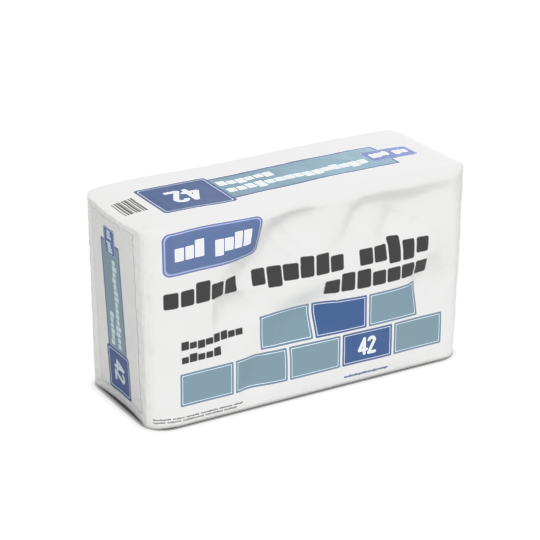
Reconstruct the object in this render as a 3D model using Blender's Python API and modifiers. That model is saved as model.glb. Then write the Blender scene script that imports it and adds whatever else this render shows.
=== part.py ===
"""Filled cement sack: a pasted valve sack of multi-wall paper, standing on one long narrow side.

Metres, +Z up. The origin is the middle of the box's footprint. +X runs along the sack's length,
-Y is the broad printed front, and the two pasted ends face -X and +X.
"""

from math import cos, exp, hypot, pi

import bmesh
import bpy
from mathutils import Vector

# Driving dimensions of the filled sack
LENGTH = 0.500
HEIGHT = 0.291
DEPTH = 0.2040

# Radii of the long edges, where the paper wraps from one side to the next: tight at the square
# folded ends, and round along the middle
TOP_EDGE_RADII = (0.0045, 0.0205)
BASE_EDGE_RADII = (0.0030, 0.0077)
EDGE_RADIUS_REACH = 0.065

# How far each side falls back towards an end, and over what length: (fall, reach).
# Every side has a long soft fall, and a short one that ends in the crease of the end panel.
LEFT_FRONT_FALLS = ((0.0158, 0.0488), (0.0086, 0.0115))
LEFT_BACK_FALLS = ((0.0141, 0.0345), (0.0086, 0.0115))
LEFT_TOP_FALLS = ((0.0094, 0.0960), (0.0014, 0.0077))
RIGHT_FRONT_FALLS = ((0.0113, 0.0410), (0.0090, 0.0232))
RIGHT_BACK_FALLS = ((0.0050, 0.0580), (0.0074, 0.0275))
RIGHT_TOP_FALLS = ((0.0029, 0.0480), (0.0024, 0.0115))

# The end panels: how far the fill pushes their middle out at the top and at the base, and
# how far each leans out at the top
LEFT_END_SWELL = (0.0058, -0.0062)
RIGHT_END_SWELL = (-0.0005, -0.0030)
END_SWELL_REACH = 0.048
LEFT_END_LEAN = 0.0019
RIGHT_END_LEAN = 0.0080

# The broad sides' belly, and the top's long low wave (place along the length, half length, rise)
BELLY = 0.0016
TOP_WAVES = ((0.163, 0.082, -0.0029), (0.389, 0.077, 0.0019))

# Dents where the fill has settled away from the paper. Each is a stroke on a broad side: its two
# ends as (distance from the left end, height), its half width above and below, and its depth.
FRONT_DENTS = (
    ((0.252, 0.263), (0.206, 0.259), 0.016, 0.032, 0.0060),
    ((0.200, 0.247), (0.142, 0.188), 0.020, 0.040, 0.0080),
    ((0.128, 0.178), (0.127, 0.134), 0.022, 0.044, 0.0056),
    ((0.462, 0.257), (0.336, 0.257), 0.014, 0.030, 0.0090),
    ((0.318, 0.248), (0.296, 0.217), 0.014, 0.026, 0.0060),
    ((0.262, 0.135), (0.192, 0.121), 0.019, 0.030, 0.0080),
    ((0.164, 0.074), (0.148, 0.030), 0.014, 0.019, 0.0048),
    ((0.435, 0.154), (0.462, 0.116), 0.016, 0.022, 0.0052),
)
BACK_DENTS = (
    ((0.100, 0.240), (0.172, 0.182), 0.016, 0.030, 0.0058),
    ((0.278, 0.068), (0.365, 0.126), 0.017, 0.030, 0.0058),
    ((0.413, 0.231), (0.337, 0.252), 0.014, 0.026, 0.0046),
)

# Rows of the cage that the sack's form is drawn on, and the crispness of the end panels' edges
ROWS_ALONG = 22
ROWS_ACROSS = 10
ROWS_UP = 14
END_CREASE = 0.75

# Paper glued over the folded ends, and the flattened sleeve of the filling valve
PATCH_MARGIN_SIDE = 0.040
PATCH_MARGIN_TOP = 0.019
PATCH_MARGIN_BASE = 0.014
PATCH_THICKNESS = 0.0006
SLEEVE_BACK_MARGIN = 0.040
SLEEVE_WIDTH = 0.105
SLEEVE_LENGTH = 0.048
SLEEVE_THICKNESS = 0.0009
SEAT_GAP = 0.0003
END_SLICE = 0.020


def clear_scene():
    """Removes whatever the file opened with."""
    for old in list(bpy.data.objects):
        bpy.data.objects.remove(old)


def make_material(name, colour, roughness):
    """A plain Principled material for one piece."""
    material = bpy.data.materials.new(name)
    material.use_nodes = True
    shader = material.node_tree.nodes["Principled BSDF"]
    shader.inputs["Base Color"].default_value = (*colour, 1.0)
    shader.inputs["Roughness"].default_value = roughness
    shader.inputs["Metallic"].default_value = 0.0
    return material


def close_rows(length, rows):
    """Places along one side, closer together towards both of its edges."""
    return [length * (1.0 - cos(pi * step / rows)) / 2 for step in range(rows + 1)]


def fall(distance, falls):
    """How far a side has fallen back at a distance from an end."""
    return sum(depth * max(0.0, 1.0 - distance / reach) ** 2 for depth, reach in falls)


def stroke_depth(along, up, start, end, above, below, depth):
    """Depth of one dent, steeper over its upper edge than under its lower one."""
    run_x, run_z = end[0] - start[0], end[1] - start[1]
    share = ((along - start[0]) * run_x + (up - start[1]) * run_z) / (run_x ** 2 + run_z ** 2)
    share = min(1.0, max(0.0, share))
    away_x = along - start[0] - share * run_x
    away_z = up - start[1] - share * run_z
    half_width = above if away_z > 0 else below
    return depth * exp(-(hypot(away_x, away_z) / half_width) ** 2)


def dent_depth(along, up, dents):
    """Depth of all the dents of one broad side at a point of it."""
    return sum(stroke_depth(along, up, *dent) for dent in dents)


def edge_radius(radii, along):
    """Radius of a long edge at one place along the sack."""
    at_end, in_middle = radii
    nearness = max(0.0, 1.0 - min(along, LENGTH - along) / EDGE_RADIUS_REACH)
    return in_middle + nearness ** 2 * (at_end - in_middle)


def rounded_section(along, across, up):
    """Moves a point of the plain section's corners onto their radii."""
    for radii, side_z in ((TOP_EDGE_RADII, 1), (BASE_EDGE_RADII, -1)):
        radius = edge_radius(radii, along)
        centre_z = HEIGHT - radius if side_z > 0 else radius
        for centre_y, side_y in ((radius, -1), (DEPTH - radius, 1)):
            across, up = round_corner(across, up, centre_y, centre_z, side_y, side_z, radius)
    return across, up


def round_corner(across, up, centre_y, centre_z, side_y, side_z, radius):
    """Draws one square corner of the section in to a quarter circle."""
    share_y = side_y * (across - centre_y) / radius
    share_z = side_z * (up - centre_z) / radius
    if share_y <= 0 or share_z <= 0:
        return across, up
    squeeze = max(share_y, share_z) / hypot(share_y, share_z)
    return centre_y + side_y * share_y * squeeze * radius, centre_z + side_z * share_z * squeeze * radius


def sack_point(along, plain_across, plain_up):
    """Moves a point of the plain box, measured from its left front foot, onto the filled sack."""
    across, up = rounded_section(along, plain_across, plain_up)
    from_right = LENGTH - along
    height_share = up / HEIGHT
    depth_share = 2 * across / DEPTH - 1
    front, back = max(0.0, -depth_share), max(0.0, depth_share)

    belly = BELLY * (1 - (2 * height_share - 1) ** 2)
    front_in = fall(along, LEFT_FRONT_FALLS) + fall(from_right, RIGHT_FRONT_FALLS) - belly
    back_in = fall(along, LEFT_BACK_FALLS) + fall(from_right, RIGHT_BACK_FALLS) - belly
    front_in += dent_depth(along, up, FRONT_DENTS) * front ** 4
    back_in += dent_depth(along, up, BACK_DENTS) * back ** 4
    top_in = fall(along, LEFT_TOP_FALLS) + fall(from_right, RIGHT_TOP_FALLS)
    top_in -= sum(rise * exp(-((along - place) / half) ** 2) for place, half, rise in TOP_WAVES)

    middle = 1 - depth_share ** 2
    left_out = end_reach(along) * end_swell(LEFT_END_SWELL, LEFT_END_LEAN, middle, height_share)
    right_out = end_reach(from_right) * end_swell(RIGHT_END_SWELL, RIGHT_END_LEAN, middle, height_share)
    return (
        along - left_out + right_out,
        across + front * front_in - back * back_in,
        up - height_share ** 2 * top_in,
    )


def end_reach(distance):
    """1 on an end panel, falling to 0 where its swell no longer moves the sides."""
    return max(0.0, 1.0 - distance / END_SWELL_REACH) ** 2


def end_swell(swell, lean, middle, height_share):
    """How far a point of an end panel stands out from the plain box."""
    top, base = swell
    return middle * (top * height_share + base * (1 - height_share)) + lean * (height_share - 0.5)


def sack_cage():
    """The sack's cage: a cube cut into a grid along each axis in turn, its points moved onto the form."""
    rows = (close_rows(LENGTH, ROWS_ALONG), close_rows(DEPTH, ROWS_ACROSS), close_rows(HEIGHT, ROWS_UP))
    cage = bmesh.new()
    bmesh.ops.create_cube(cage, size=1.0)
    for axis, places in enumerate(rows):
        parallel = [edge for edge in cage.edges if abs(edge.verts[0].co[axis] - edge.verts[1].co[axis]) > 0.5]
        bmesh.ops.subdivide_edges(cage, edges=parallel, cuts=len(places) - 2, use_grid_fill=True)
    crease = cage.edges.layers.float.new("crease_edge")
    for edge in cage.edges:
        ends = {round(abs(vert.co.x), 4) for vert in edge.verts} == {0.5}
        rims = len({tuple(round(part, 3) for part in face.normal) for face in edge.link_faces}) > 1
        edge[crease] = END_CREASE if ends and rims else 0.0
    for vert in cage.verts:
        steps = [round((vert.co[axis] + 0.5) * (len(places) - 1)) for axis, places in enumerate(rows)]
        vert.co = sack_point(*(places[step] for places, step in zip(rows, steps)))
    return cage


def new_object(name, surface, collection, material):
    """Turns a finished bmesh into one named piece of the collection."""
    mesh = bpy.data.meshes.new(name)
    surface.to_mesh(mesh)
    surface.free()
    mesh.materials.append(material)
    piece = bpy.data.objects.new(name, mesh)
    collection.objects.link(piece)
    return piece


def build_sack(collection):
    """The filled sack: the coarse cage, rounded by one level of subdivision."""
    material = make_material("sack_paper", (0.86, 0.86, 0.85), 0.62)
    sack = new_object("sack", sack_cage(), collection, material)
    smooth = sack.modifiers.new("soft paper", "SUBSURF")
    smooth.levels = 1
    smooth.render_levels = 1
    sack.data.shade_smooth()
    return sack


def end_piece(name, sack, side, bounds, lift, thickness, collection, material):
    """A paper piece that lies on one end: that part of the end's own surface, lifted and thickened.

    side is -1 for the left end and 1 for the right one, and bounds are the piece's edges as
    (front, back, base, top) in the sack's own measures.
    """
    front, back, base, top = bounds
    surface = bmesh.new()
    surface.from_mesh(sack.evaluated_get(bpy.context.evaluated_depsgraph_get()).to_mesh())
    inner = LENGTH / 2 + side * (LENGTH / 2 - END_SLICE)
    cuts = (
        ((0, front, 0), (0, -1, 0)),
        ((0, back, 0), (0, 1, 0)),
        ((0, 0, base), (0, 0, -1)),
        ((0, 0, top), (0, 0, 1)),
        ((inner, 0, 0), (-side, 0, 0)),
    )
    for place, outward in cuts:
        everything = surface.verts[:] + surface.edges[:] + surface.faces[:]
        bmesh.ops.bisect_plane(
            surface, geom=everything, dist=1e-6, plane_co=place, plane_no=outward, clear_outer=True
        )
    bmesh.ops.translate(surface, verts=surface.verts, vec=(side * lift, 0, 0))
    piece = new_object(name, surface, collection, material)
    wall = piece.modifiers.new("paper", "SOLIDIFY")
    wall.thickness = thickness
    wall.offset = 1.0
    return piece


def build_end_papers(sack, collection):
    """The patch over each folded end, and the valve's sleeve on the right one."""
    patch_paper = make_material("patch_paper", (0.80, 0.80, 0.79), 0.70)
    sleeve_paper = make_material("sleeve_paper", (0.55, 0.42, 0.28), 0.80)
    patch = (PATCH_MARGIN_SIDE, DEPTH - PATCH_MARGIN_SIDE, PATCH_MARGIN_BASE, HEIGHT - PATCH_MARGIN_TOP)
    sleeve_back = DEPTH - SLEEVE_BACK_MARGIN
    sleeve_top = HEIGHT - PATCH_MARGIN_TOP - 0.004
    sleeve = (sleeve_back - SLEEVE_WIDTH, sleeve_back, sleeve_top - SLEEVE_LENGTH, sleeve_top)
    sleeve_lift = 2 * SEAT_GAP + PATCH_THICKNESS
    args = (collection, patch_paper)
    return [
        end_piece("end_patch_left", sack, -1, patch, SEAT_GAP, PATCH_THICKNESS, *args),
        end_piece("end_patch_right", sack, 1, patch, SEAT_GAP, PATCH_THICKNESS, *args),
        end_piece("valve_sleeve", sack, 1, sleeve, sleeve_lift, SLEEVE_THICKNESS, collection, sleeve_paper),
    ]


def centre_on_footprint(pieces):
    """Moves every mesh so that the origin is the middle of the whole box's footprint."""
    bpy.context.view_layer.update()
    graph = bpy.context.evaluated_depsgraph_get()
    corners = [Vector(corner) for piece in pieces for corner in piece.evaluated_get(graph).bound_box]
    middle = [(min(spot[axis] for spot in corners) + max(spot[axis] for spot in corners)) / 2 for axis in (0, 1)]
    lowest = min(spot.z for spot in corners)
    for piece in pieces:
        for vert in piece.data.vertices:
            vert.co -= Vector((middle[0], middle[1], lowest))


def main():
    """Builds every piece of the sack."""
    clear_scene()
    collection = bpy.data.collections.new("cement_sack")
    bpy.context.scene.collection.children.link(collection)
    sack = build_sack(collection)
    bpy.context.view_layer.update()
    centre_on_footprint([sack, *build_end_papers(sack, collection)])


main()
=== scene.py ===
"""Looks of a filled paper cement sack standing on one long narrow side.

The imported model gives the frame: metres, +Z up, the sack's length along X and its printed front
facing -Y. The sack's skin is drawn on the same form as its solid, at a much finer pitch, with the
dents, folds and creases of paper over powder. The end patches and the valve's sleeve are cut from
the skin's own ends, and the print is shader work on a map that is measured in metres.
"""

import logging
import math
from dataclasses import dataclass, field
from enum import Enum
from typing import Any, Callable, Sequence

import bmesh
import bpy
import numpy as np
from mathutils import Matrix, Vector


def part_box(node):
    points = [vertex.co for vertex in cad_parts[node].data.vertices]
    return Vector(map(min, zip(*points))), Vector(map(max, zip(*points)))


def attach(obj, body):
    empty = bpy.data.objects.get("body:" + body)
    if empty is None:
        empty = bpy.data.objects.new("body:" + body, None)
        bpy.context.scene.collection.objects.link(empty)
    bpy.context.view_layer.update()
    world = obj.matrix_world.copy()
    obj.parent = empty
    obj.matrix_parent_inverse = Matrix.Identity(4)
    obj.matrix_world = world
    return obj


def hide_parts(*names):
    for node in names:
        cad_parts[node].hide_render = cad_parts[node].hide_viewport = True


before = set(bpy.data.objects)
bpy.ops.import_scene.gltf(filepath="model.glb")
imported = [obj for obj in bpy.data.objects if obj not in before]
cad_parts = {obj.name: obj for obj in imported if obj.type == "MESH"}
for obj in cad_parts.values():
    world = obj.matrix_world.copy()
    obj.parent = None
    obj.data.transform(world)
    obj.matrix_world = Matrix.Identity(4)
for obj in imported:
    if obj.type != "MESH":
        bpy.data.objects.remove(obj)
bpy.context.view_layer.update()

LOG = logging.getLogger("cement_sack")
BODY = "root"
MILLIMETRE = 0.001

Numbers = np.ndarray
Pair = tuple[float, float]
Colour = tuple[float, float, float]


class Side(Enum):
    """The six sides of the sack, by the number of their material slot."""

    FRONT = 0
    BACK = 1
    TOP = 2
    BASE = 3
    LEFT = 4
    RIGHT = 5


def srgb(red: int, green: int, blue: int) -> Colour:
    """Turns a colour as a screen shows it, from 0 to 255, into linear light."""
    shares = [part / 255 for part in (red, green, blue)]
    linear = [((part + 0.055) / 1.055) ** 2.4 if part > 0.04045 else part / 12.92 for part in shares]
    return linear[0], linear[1], linear[2]


# Form of the filled sack


class Press(Enum):
    """How a stroke's side runs out: softly, like a hair crease, or at a clear edge."""

    SOFT = "soft"
    CREASE = "crease"
    FACET = "facet"


@dataclass(frozen=True)
class Stroke:
    """One dent, ridge or crease of the paper, drawn along a bent line.

    points are (distance from the left end, place around the girth) in metres, above and below
    are the half widths over and under the line, and depth is how far the paper goes in. A
    facet has its clear edge on the upper side.
    """

    points: tuple[Pair, ...]
    above: float
    below: float
    depth: float
    press: Press = Press.SOFT

    def depth_at(self, along: Numbers, girth: Numbers) -> Numbers:
        """Depth of this stroke at many places at once.

        Args:
            along: distances from the left end.
            girth: places around the girth, or heights on an end panel.

        Returns:
            How far in the paper goes at each place.
        """
        nearest = np.full(along.shape, 1e9)
        upper = np.zeros(along.shape)
        reach = np.zeros(along.shape)
        lengths = [math.dist(*pair) for pair in zip(self.points, self.points[1:])]
        total, done = sum(lengths), 0.0
        for (start, end), length in zip(zip(self.points, self.points[1:]), lengths):
            run_x, run_z = end[0] - start[0], end[1] - start[1]
            share = ((along - start[0]) * run_x + (girth - start[1]) * run_z) / length**2
            share = np.clip(share, 0.0, 1.0)
            away_x = along - start[0] - share * run_x
            away_z = girth - start[1] - share * run_z
            away = np.hypot(away_x, away_z)
            closer = away < nearest
            nearest = np.where(closer, away, nearest)
            turn = (run_x * away_z - run_z * away_x) / (length * (away + 1e-9))
            upper = np.where(closer, 0.5 + 0.5 * turn * math.copysign(1.0, run_x), upper)
            reach = np.where(closer, (done + share * length) / total, reach)
            done += length
        width = self.below + upper * (self.above - self.below)
        taper = 0.35 + 0.65 * np.sin(np.pi * np.clip(reach, 0.0, 1.0)) ** 0.7
        share = nearest / width
        shape = np.exp(-(share**2))
        if self.press is Press.CREASE:
            shape = np.exp(-1.6 * np.sqrt(share**2 + 0.02))
        elif self.press is Press.FACET:
            shape = shape + upper * (np.clip(1.0 - share**2, 0.0, None) - shape)
        return self.depth * taper * shape


def lattice_noise(points: Numbers) -> Numbers:
    """Smooth noise between -1 and 1, from fixed random values at whole-numbered places.

    Args:
        points: one row of x, y and z for each point.

    Returns:
        One value for each point.
    """
    cell = np.floor(points).astype(np.int64)
    inner = points - cell
    inner = inner**3 * (inner * (inner * 6 - 15) + 10)
    total = np.zeros(len(points))
    for corner in np.ndindex(2, 2, 2):
        steps = (cell + corner) * np.array((73856093, 19349663, 83492791))
        mixed = steps[:, 0] ^ steps[:, 1] ^ steps[:, 2]
        mixed = (mixed ^ (mixed >> 13)) * 1274126177 & 0x7FFFFFFF
        share = np.prod(np.where(corner, inner, 1 - inner), axis=1)
        total += share * ((mixed >> 8 & 0xFFFF) / 32767.5 - 1)
    return total


@dataclass(frozen=True)
class Crinkle:
    """Unevenness of paper over powder.

    size is the width of one swell or ridge in metres, and height is how far it stands out.
    """

    size: float
    height: float
    ridged: bool = False
    place: tuple[float, float, float] = (0.0, 0.0, 0.0)

    def heights(self, points: Numbers, share: Numbers) -> Numbers:
        """Height of the paper over each point.

        Args:
            points: one row of x, y and z for each point.
            share: how much of the unevenness each point gets, from 0 to 1.

        Returns:
            The heights, in metres.
        """
        moved = points / self.size + np.array(self.place)
        value = lattice_noise(moved)
        if self.ridged:
            value = 0.5 - np.abs(value) * 2.0 + 0.3 * lattice_noise(moved * 2.3)
        return value * share * self.height


@dataclass(frozen=True)
class SackForm:
    """The filled sack's shape, as a map from a plain box to its surface.

    A fall is (depth, reach): how far a side falls back at an end, and over what length.
    """

    length: float = 0.500
    height: float = 0.291
    depth: float = 0.2040
    top_edge_radii: Pair = (0.0045, 0.0205)
    base_edge_radii: Pair = (0.0030, 0.0077)
    edge_radius_reach: float = 0.065
    left_front_falls: tuple[Pair, ...] = ((0.0158, 0.0488), (0.0086, 0.0115))
    left_back_falls: tuple[Pair, ...] = ((0.0141, 0.0345), (0.0086, 0.0115))
    left_top_falls: tuple[Pair, ...] = ((0.0094, 0.0960), (0.0014, 0.0077))
    right_front_falls: tuple[Pair, ...] = ((0.0113, 0.0410), (0.0090, 0.0232))
    right_back_falls: tuple[Pair, ...] = ((0.0050, 0.0580), (0.0074, 0.0275))
    right_top_falls: tuple[Pair, ...] = ((0.0029, 0.048), (0.0024, 0.0115))
    left_end_swell: Pair = (0.0058, -0.0062)
    right_end_swell: Pair = (-0.0005, -0.0030)
    end_swell_reach: float = 0.048
    left_end_lean: float = 0.0019
    right_end_lean: float = 0.0080
    belly: float = 0.0016
    top_waves: tuple[tuple[float, float, float], ...] = ((0.163, 0.082, -0.0029), (0.389, 0.077, 0.0019))

    def shift(self) -> Vector:
        """The step from the sack's own measures to the row frame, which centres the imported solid."""
        low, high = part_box("sack")
        steps = np.linspace(0.0, 1.0, 41)
        along, across, up = (part.ravel() for part in np.meshgrid(steps, steps, steps))
        places = self.place(along * self.length, across * self.depth, up * self.height)
        middle = (places.min(0) + places.max(0)) / 2
        return Vector(((low[0] + high[0]) / 2 - middle[0], (low[1] + high[1]) / 2 - middle[1], low[2]))

    def girth(self, side: Side, across: Numbers, up: Numbers) -> Numbers:
        """Place around the sack, from the front's foot up and over the top and down the back."""
        if side is Side.FRONT:
            return up
        if side is Side.TOP:
            return self.height + across
        if side is Side.BACK:
            return 2 * self.height + self.depth - up
        return 2 * self.height + 2 * self.depth - across

    def place(self, along: Numbers, across: Numbers, up: Numbers) -> Numbers:
        """Moves points of the plain box, measured from its left front foot, onto the sack.

        Args:
            along: distances from the left end.
            across: distances from the front.
            up: heights over the floor.

        Returns:
            One row of x, y and z for each point, in the sack's own measures.
        """
        across, up = self._rounded_section(along, across, up)
        from_right = self.length - along
        height_share = up / self.height
        depth_share = 2 * across / self.depth - 1
        front, back = np.maximum(0.0, -depth_share), np.maximum(0.0, depth_share)
        belly = self.belly * (1 - (2 * height_share - 1) ** 2)
        front_in = self._fall(along, self.left_front_falls) + self._fall(from_right, self.right_front_falls)
        back_in = self._fall(along, self.left_back_falls) + self._fall(from_right, self.right_back_falls)
        top_in = self._fall(along, self.left_top_falls) + self._fall(from_right, self.right_top_falls)
        for middle, half, rise in self.top_waves:
            top_in = top_in - rise * np.exp(-(((along - middle) / half) ** 2))
        middle = 1 - depth_share**2
        left_out = self._end_out(along, self.left_end_swell, self.left_end_lean, middle, height_share)
        right_out = self._end_out(from_right, self.right_end_swell, self.right_end_lean, middle, height_share)
        moved_across = across + front * (front_in - belly) - back * (back_in - belly)
        return np.stack([along - left_out + right_out, moved_across, up - height_share**2 * top_in], -1)

    def end_across(self, side: Side, off_middle: Numbers) -> Numbers:
        """The plain measure across an end that lands at real distances from the end's middle."""
        plain = np.linspace(0.0, self.depth, 81)
        along = np.full(81, 0.0 if side is Side.LEFT else self.length)
        placed = self.place(along, plain, np.full(81, self.height / 2))
        return np.interp(off_middle, placed[:, 1] - self.depth / 2, plain)

    def end_up(self, side: Side, heights: Numbers) -> Numbers:
        """The plain measure up an end that lands at real heights over the floor."""
        plain = np.linspace(0.0, self.height, 81)
        along = np.full(81, 0.0 if side is Side.LEFT else self.length)
        placed = self.place(along, np.full(81, self.depth / 2), plain)
        return np.interp(heights, placed[:, 2], plain)

    def _fall(self, distance: Numbers, falls: tuple[Pair, ...]) -> Numbers:
        """How far a side has fallen back at distances from an end."""
        return sum(depth * np.clip(1.0 - distance / reach, 0.0, None) ** 2 for depth, reach in falls)

    def _end_out(self, distance: Numbers, swell: Pair, lean: float, middle: Numbers, share: Numbers) -> Numbers:
        """How far points near an end stand out beyond the plain box."""
        reach = np.clip(1.0 - distance / self.end_swell_reach, 0.0, None) ** 2
        return reach * (middle * (swell[0] * share + swell[1] * (1 - share)) + lean * (share - 0.5))

    def _edge_radius(self, radii: Pair, along: Numbers) -> Numbers:
        """Radius of a long edge at places along the sack: tight at the ends, wide in the middle."""
        nearness = np.clip(1.0 - np.minimum(along, self.length - along) / self.edge_radius_reach, 0.0, None)
        return radii[1] + nearness**2 * (radii[0] - radii[1])

    def _rounded_section(self, along: Numbers, across: Numbers, up: Numbers) -> tuple[Numbers, Numbers]:
        """Moves points of the plain section's four corners onto their radii."""
        for radii, side_z in ((self.top_edge_radii, 1), (self.base_edge_radii, -1)):
            radius = self._edge_radius(radii, along)
            centre_z = self.height - radius if side_z > 0 else radius
            for side_y in (-1, 1):
                centre_y = radius if side_y < 0 else self.depth - radius
                share_y = side_y * (across - centre_y) / radius
                share_z = side_z * (up - centre_z) / radius
                inside = (share_y > 0) & (share_z > 0)
                size = np.hypot(share_y, share_z) + 1e-12
                squeeze = np.where(inside, np.maximum(share_y, share_z) / size, 1.0)
                across = np.where(inside, centre_y + side_y * share_y * squeeze * radius, across)
                up = np.where(inside, centre_z + side_z * share_z * squeeze * radius, up)
        return across, up


# Shader tools


class Wire:
    """The value of one socket, with arithmetic that adds Math nodes."""

    def __init__(self, bench: "Bench", socket: bpy.types.NodeSocket) -> None:
        """Wraps a socket of the bench's tree."""
        self.bench = bench
        self.socket = socket

    def math(self, operation: str, *others: Any, clamp: bool = False) -> "Wire":
        """Adds one Math node that starts from this value."""
        settings = {"operation": operation, "use_clamp": clamp}
        node = self.bench.node("ShaderNodeMath", settings, {index: item for index, item in enumerate((self, *others))})
        return Wire(self.bench, node.outputs[0])

    def __add__(self, other: Any) -> "Wire":
        """self + other."""
        return self.math("ADD", other)

    __radd__ = __add__

    def __mul__(self, other: Any) -> "Wire":
        """self * other."""
        return self.math("MULTIPLY", other)

    __rmul__ = __mul__

    def __sub__(self, other: Any) -> "Wire":
        """self - other."""
        return self.math("SUBTRACT", other)

    def __rsub__(self, other: Any) -> "Wire":
        """other - self."""
        return self.bench.constant_math("SUBTRACT", other, self)

    def __truediv__(self, other: Any) -> "Wire":
        """self / other."""
        return self.math("DIVIDE", other)

    def __pow__(self, other: Any) -> "Wire":
        """self ** other."""
        return self.math("POWER", other)

    def __or__(self, other: Any) -> "Wire":
        """The larger of two masks: where either is."""
        return self.math("MAXIMUM", other)

    def __and__(self, other: Any) -> "Wire":
        """The smaller of two masks: where both are."""
        return self.math("MINIMUM", other)

    def absolute(self) -> "Wire":
        """The value without its sign."""
        return self.math("ABSOLUTE")

    def above_zero(self) -> "Wire":
        """The value, or nothing where it is negative."""
        return self.math("MAXIMUM", 0.0)

    def clamped(self) -> "Wire":
        """The value kept between 0 and 1."""
        return self.math("ADD", 0.0, clamp=True)


class Bench:
    """The node tree of one material, and the one way in which nodes are added to it."""

    def __init__(self, name: str) -> None:
        """Starts a material with a Principled shader."""
        self.material = bpy.data.materials.new(name)
        self.material.use_nodes = True
        self.tree = self.material.node_tree
        self.shader = self.tree.nodes["Principled BSDF"]

    def node(self, kind: str, settings: dict[str, Any], inputs: dict[Any, Any]) -> bpy.types.Node:
        """Adds a node.

        Args:
            kind: the node's type.
            settings: properties to set first; a ramp's stops are given as "stops".
            inputs: values or wires, by socket name or number.

        Returns:
            The new node.
        """
        node = self.tree.nodes.new(kind)
        for key, value in settings.items():
            if key == "stops":
                self._set_stops(node.color_ramp, value)
            else:
                setattr(node, key, value)
        for key, value in inputs.items():
            self.feed(node.inputs[key], value)
        return node

    def feed(self, socket: bpy.types.NodeSocket, value: Any) -> None:
        """Links a wire to a socket, or sets the socket's own value."""
        if isinstance(value, Wire):
            self.tree.links.new(value.socket, socket)
        elif isinstance(value, bpy.types.NodeSocket):
            self.tree.links.new(value, socket)
        elif isinstance(value, tuple) and socket.type == "RGBA":
            socket.default_value = (*value, 1.0)
        else:
            socket.default_value = value

    def constant_math(self, operation: str, first: Any, second: Any) -> Wire:
        """Adds a Math node whose first value may be a plain number."""
        node = self.node("ShaderNodeMath", {"operation": operation}, {0: first, 1: second})
        return Wire(self, node.outputs[0])

    def wire(self, node: bpy.types.Node, output: Any = 0) -> Wire:
        """Wraps one output of a node."""
        return Wire(self, node.outputs[output])

    def mapped(self, name: str) -> tuple[Wire, Wire]:
        """The two measures of a named UV map."""
        uv = self.node("ShaderNodeUVMap", {"uv_map": name}, {})
        parts = self.node("ShaderNodeSeparateXYZ", {}, {0: uv.outputs[0]})
        return self.wire(parts, 0), self.wire(parts, 1)

    def noise(self, scale: float, detail: float = 2.0, roughness: float = 0.5, stretch: Any = None) -> Wire:
        """Noise on the object's own coordinates, in cycles a metre."""
        place = self.node("ShaderNodeTexCoord", {}, {}).outputs["Object"]
        if stretch is not None:
            place = self.node("ShaderNodeMapping", {}, {"Vector": place, "Scale": stretch}).outputs[0]
        settings = {"noise_dimensions": "3D"}
        inputs = {"Vector": place, "Scale": scale, "Detail": detail, "Roughness": roughness}
        return self.wire(self.node("ShaderNodeTexNoise", settings, inputs), "Fac")

    def mix(self, share: Any, first: Any, second: Any) -> bpy.types.NodeSocket:
        """Mixes two colours and returns the result's socket."""
        node = self.node("ShaderNodeMix", {"data_type": "RGBA"}, {"Factor": share})
        self.feed(node.inputs[6], first)
        self.feed(node.inputs[7], second)
        return node.outputs[2]

    def bump(self, height: Wire, distance: float, strength: float, normal: Any = None) -> bpy.types.NodeSocket:
        """Adds a Bump node, over an earlier one where normal is given."""
        inputs: dict[Any, Any] = {"Height": height, "Distance": distance, "Strength": strength}
        if normal is not None:
            inputs["Normal"] = normal
        return self.node("ShaderNodeBump", {}, inputs).outputs[0]

    def _set_stops(self, ramp: bpy.types.ColorRamp, stops: Sequence[tuple[float, float]]) -> None:
        """Gives a ramp its grey stops."""
        while len(ramp.elements) < len(stops):
            ramp.elements.new(1.0)
        for element, (position, grey) in zip(ramp.elements, stops):
            element.position = position
            element.color = (grey, grey, grey, 1.0)


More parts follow.
